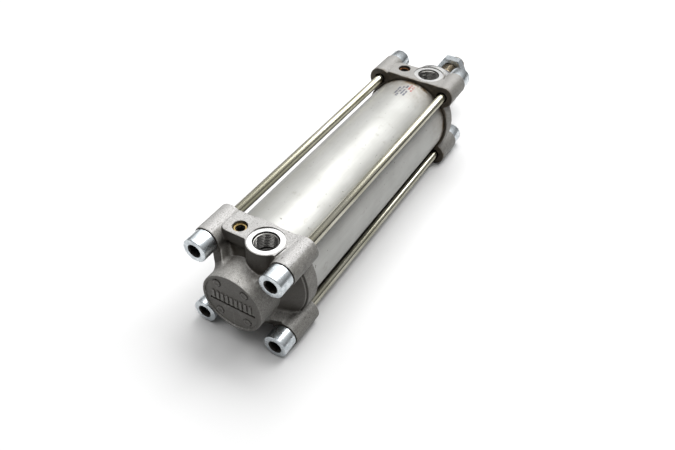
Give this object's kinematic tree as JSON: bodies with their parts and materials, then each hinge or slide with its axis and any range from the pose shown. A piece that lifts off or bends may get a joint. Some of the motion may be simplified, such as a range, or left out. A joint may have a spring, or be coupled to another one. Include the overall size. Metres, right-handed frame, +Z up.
{
  "type": "pneumatic cylinder",
  "caption": "Double-acting tie-rod pneumatic cylinder with cast end covers, top air ports, adjustable end cushions and a threaded piston rod.",
  "frame": {"origin": "centre of the rear cover's round spigot face, on the cylinder's axis", "axes": "+X along the axis towards the rod end, +Z up through the air ports, +Y to the left"},
  "size_m": [0.354, 0.075, 0.075],
  "materials": {
    "cast_aluminium": "die cast, fine grain",
    "anodised_aluminium": "satin anodised",
    "turned_aluminium": "turned",
    "zinc_plated_steel": "zinc plated",
    "bright_drawn_steel": "bright drawn",
    "hard_chrome": "polished",
    "brass": "turned",
    "sintered_bronze": "matt",
    "nitrile_rubber": "matt",
    "polyurethane": "matt",
    "acetal": "matt",
    "bonded_ferrite": "matt"
  },
  "bodies": {
    "cylinder_body": {"rear_cover": "cast_aluminium", "front_cover": "cast_aluminium", "barrel_tube": "anodised_aluminium", "tie_rod_upper_left": "bright_drawn_steel", "tie_rod_upper_right": "bright_drawn_steel", "tie_rod_lower_left": "bright_drawn_steel", "tie_rod_lower_right": "bright_drawn_steel", "rear_nut_upper_left": "zinc_plated_steel", "rear_nut_upper_right": "zinc_plated_steel", "rear_nut_lower_left": "zinc_plated_steel", "rear_nut_lower_right": "zinc_plated_steel", "front_nut_upper_left": "zinc_plated_steel", "front_nut_upper_right": "zinc_plated_steel", "front_nut_lower_left": "zinc_plated_steel", "front_nut_lower_right": "zinc_plated_steel", "rear_tube_o_ring": "nitrile_rubber", "front_tube_o_ring": "nitrile_rubber", "rear_cushion_seal": "polyurethane", "front_cushion_seal": "polyurethane", "rod_bearing_bush": "sintered_bronze", "rod_wiper_seal": "polyurethane"},
    "piston_carriage": {"piston_guide_ring": "acetal", "piston_seal_rear": "polyurethane", "piston_seal_front": "polyurethane"},
    "rod_and_piston": {"piston_rod": "hard_chrome", "piston_body": "turned_aluminium", "piston_magnet": "bonded_ferrite", "rear_bumper": "polyurethane", "front_bumper": "polyurethane", "rear_cushion_sleeve": "turned_aluminium", "front_cushion_sleeve": "turned_aluminium"},
    "lock_nut": {"rod_lock_nut": "zinc_plated_steel"},
    "rear_screw_seal": {"rear_screw_o_ring": "nitrile_rubber"},
    "rear_screw": {"rear_cushion_screw": "brass"},
    "front_screw_seal": {"front_screw_o_ring": "nitrile_rubber"},
    "front_screw": {"front_cushion_screw": "brass"}
  },
  "joints": [
    {"name": "rod_stroke", "type": "slide", "parent": "cylinder_body", "child": "piston_carriage", "axis": [1, 0, 0], "range_m": [0, 0.16]},
    {"name": "rod_spin", "type": "hinge", "parent": "piston_carriage", "child": "rod_and_piston", "pos_m": [0.06, 0, 0], "axis": [1, 0, 0], "continuous": true},
    {"name": "lock_nut_turn", "type": "hinge", "parent": "rod_and_piston", "child": "lock_nut", "pos_m": [0.34, 0, 0], "axis": [1, 0, 0], "continuous": true},
    {"name": "rear_screw_rise", "type": "slide", "parent": "cylinder_body", "child": "rear_screw_seal", "axis": [0, 0, 1], "range_m": [-0.00075, 0.0015]},
    {"name": "rear_screw_turn", "type": "hinge", "parent": "rear_screw_seal", "child": "rear_screw", "pos_m": [0.0302, 0.0122, 0.03], "axis": [0, 0, 1], "range_deg": [-370, 740]},
    {"name": "front_screw_rise", "type": "slide", "parent": "cylinder_body", "child": "front_screw_seal", "axis": [0, 0, 1], "range_m": [-0.00075, 0.0015]},
    {"name": "front_screw_turn", "type": "hinge", "parent": "front_screw_seal", "child": "front_screw", "pos_m": [0.2588, 0.0122, 0.03], "axis": [0, 0, 1], "range_deg": [-370, 740]}
  ],
  "couplings": [
    {"joint": "rear_screw_turn", "follows": "rear_screw_rise", "rad_per_m": 8377.6},
    {"joint": "front_screw_turn", "follows": "front_screw_rise", "rad_per_m": 8377.6}
  ]
}
